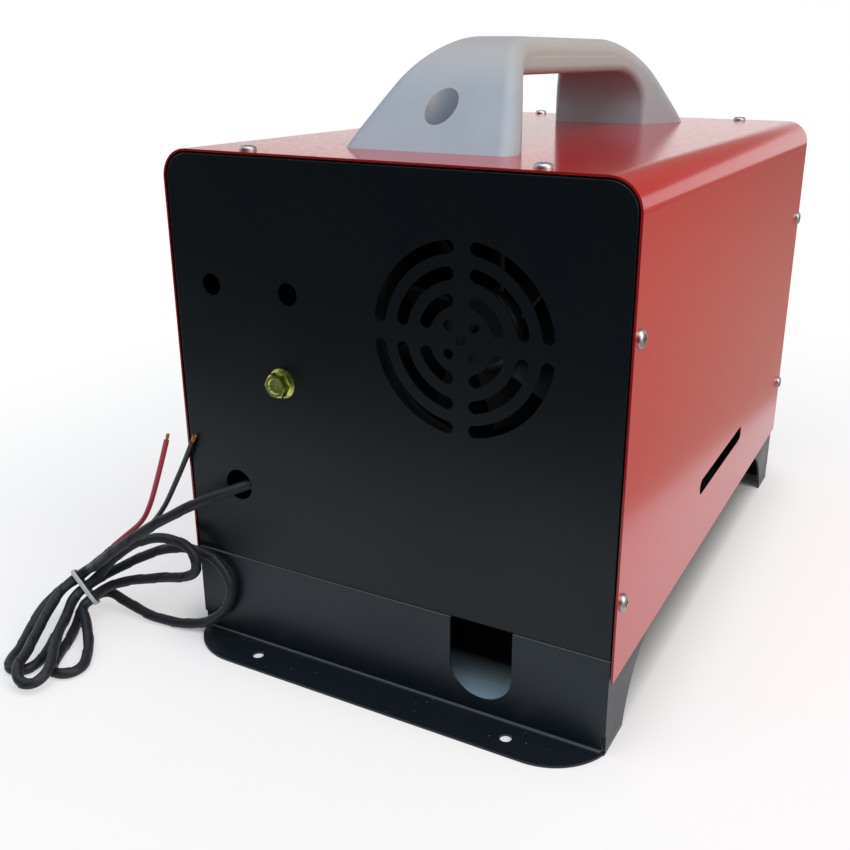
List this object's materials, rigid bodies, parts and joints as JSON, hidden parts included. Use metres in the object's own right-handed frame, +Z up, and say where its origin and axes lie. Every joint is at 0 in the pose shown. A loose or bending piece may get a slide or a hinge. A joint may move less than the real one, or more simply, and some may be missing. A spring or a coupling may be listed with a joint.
{
  "type": "diesel air heater",
  "caption": "Portable diesel air heater: red folded steel case on a black flanged stand, grey carry handle, rear intake grille, side slots, hot-air outlet and a tied power cable.",
  "frame": {"origin": "on the floor under the middle of the case, half way between its end faces and its side faces", "axes": "+Z up; -Y is the pictured end with the intake grille and the power cable, +Y the hot-air outlet; +X to the right of somebody who looks at the intake end"},
  "size_m": [0.3808, 0.5678, 0.371],
  "materials": {
    "cover_red": "gloss",
    "panel_black": "satin",
    "stand_black": "satin",
    "handle_grey": "satin",
    "screw_steel": "satin",
    "bolt_yellow": "satin",
    "galvanised": "satin",
    "fibre_gasket": "matte",
    "shell_plastic": "matte",
    "cast_aluminium": "satin",
    "burner_steel": "satin",
    "plug_steel": "satin",
    "motor_steel": "satin",
    "bearing_steel": "polished",
    "magnet_dark": "matte",
    "fan_plastic": "satin",
    "stainless": "satin",
    "port_plastic": "matte",
    "duct_foil": "satin",
    "outlet_plastic": "satin",
    "tank_plastic": "satin",
    "rubber_black": "matte",
    "cap_plastic": "satin",
    "hose_green": "gloss",
    "brass_fitting": "satin",
    "controller_plastic": "gloss",
    "board_green": "satin",
    "lens_clear": "gloss",
    "button_grey": "matte",
    "clamp_nylon": "matte",
    "cable_tape": "matte",
    "tie_nylon": "satin",
    "wire_red": "satin",
    "wire_black": "satin",
    "copper": "bright"
  },
  "bodies": {
    "heater": {"base_stand": "stand_black", "rear_panel": "panel_black", "front_panel": "panel_black", "cover_shell": "cover_red", "cover_screws": "screw_steel", "carry_handle": "handle_grey", "handle_bolts": "screw_steel", "handle_nuts": "screw_steel", "inner_screws": "screw_steel", "heater_bracket": "galvanised", "mounting_gasket": "fibre_gasket", "lower_case": "shell_plastic", "upper_case": "shell_plastic", "heat_exchanger": "cast_aluminium", "burner": "burner_steel", "burner_gasket": "fibre_gasket", "burner_bolts": "screw_steel", "glow_plug": "plug_steel", "fan_housing": "cast_aluminium", "motor_body": "motor_steel", "motor_bearings": "bearing_steel", "control_unit": "shell_plastic", "overheat_sensor": "plug_steel", "exhaust_pipe": "stainless", "intake_pipe": "port_plastic", "outlet_nozzle": "shell_plastic", "outlet_duct": "duct_foil", "outlet_collar": "outlet_plastic", "fuel_tank": "tank_plastic", "filler_neck": "cap_plastic", "filler_grommet": "rubber_black", "tank_strap": "galvanised", "fuel_pickup": "brass_fitting", "fuel_pump": "motor_steel", "pump_mount": "rubber_black", "pump_bolt": "bolt_yellow", "fuel_inlet": "stainless", "fuel_hoses": "hose_green", "controller_housing": "controller_plastic", "controller_board": "board_green", "display_lens": "lens_clear", "lead_clamp": "clamp_nylon", "inner_loom": "cable_tape", "power_lead": "cable_tape", "power_lead_hank": "cable_tape", "cable_tie": "tie_nylon", "wire_red": "wire_red", "wire_black": "wire_black", "wire_ends": "copper"},
    "blower_rotor": {"blower_shaft": "bearing_steel", "rotor_magnet": "magnet_dark", "hot_air_impeller": "fan_plastic", "combustion_impeller": "cast_aluminium"},
    "louvre": {"outlet_louvre": "outlet_plastic"},
    "seal": {"cap_seal": "rubber_black"},
    "cap": {"filler_cap": "cap_plastic"},
    "power_key": {"button_power": "button_grey"},
    "down_key": {"button_down": "button_grey"},
    "up_key": {"button_up": "button_grey"},
    "menu_key": {"button_menu": "button_grey"}
  },
  "joints": [
    {"name": "blower_spin", "type": "hinge", "parent": "heater", "child": "blower_rotor", "pos_m": [0.05, -0.12, 0.2225], "axis": [0, 1, 0], "continuous": true},
    {"name": "louvre_turn", "type": "hinge", "parent": "heater", "child": "louvre", "pos_m": [0.05, 0.225, 0.2225], "axis": [0, 1, 0], "continuous": true},
    {"name": "cap_lift", "type": "slide", "parent": "heater", "child": "seal", "axis": [0, 0, 1], "range_m": [0, 0.0125]},
    {"name": "cap_turn", "type": "hinge", "parent": "seal", "child": "cap", "pos_m": [-0.098, 0.085, 0.32], "axis": [0, 0, 1], "range_deg": [0, 901]},
    {"name": "power_press", "type": "slide", "parent": "heater", "child": "power_key", "axis": [0, -1, 0], "range_m": [0, 0.0011], "stiffness_N_per_m": 600, "springref_m": -0.0005},
    {"name": "down_press", "type": "slide", "parent": "heater", "child": "down_key", "axis": [0, -1, 0], "range_m": [0, 0.0011], "stiffness_N_per_m": 600, "springref_m": -0.0005},
    {"name": "up_press", "type": "slide", "parent": "heater", "child": "up_key", "axis": [0, -1, 0], "range_m": [0, 0.0011], "stiffness_N_per_m": 600, "springref_m": -0.0005},
    {"name": "menu_press", "type": "slide", "parent": "heater", "child": "menu_key", "axis": [0, -1, 0], "range_m": [0, 0.0011], "stiffness_N_per_m": 600, "springref_m": -0.0005}
  ],
  "couplings": [
    {"joint": "cap_turn", "follows": "cap_lift", "rad_per_m": 1256.6}
  ]
}
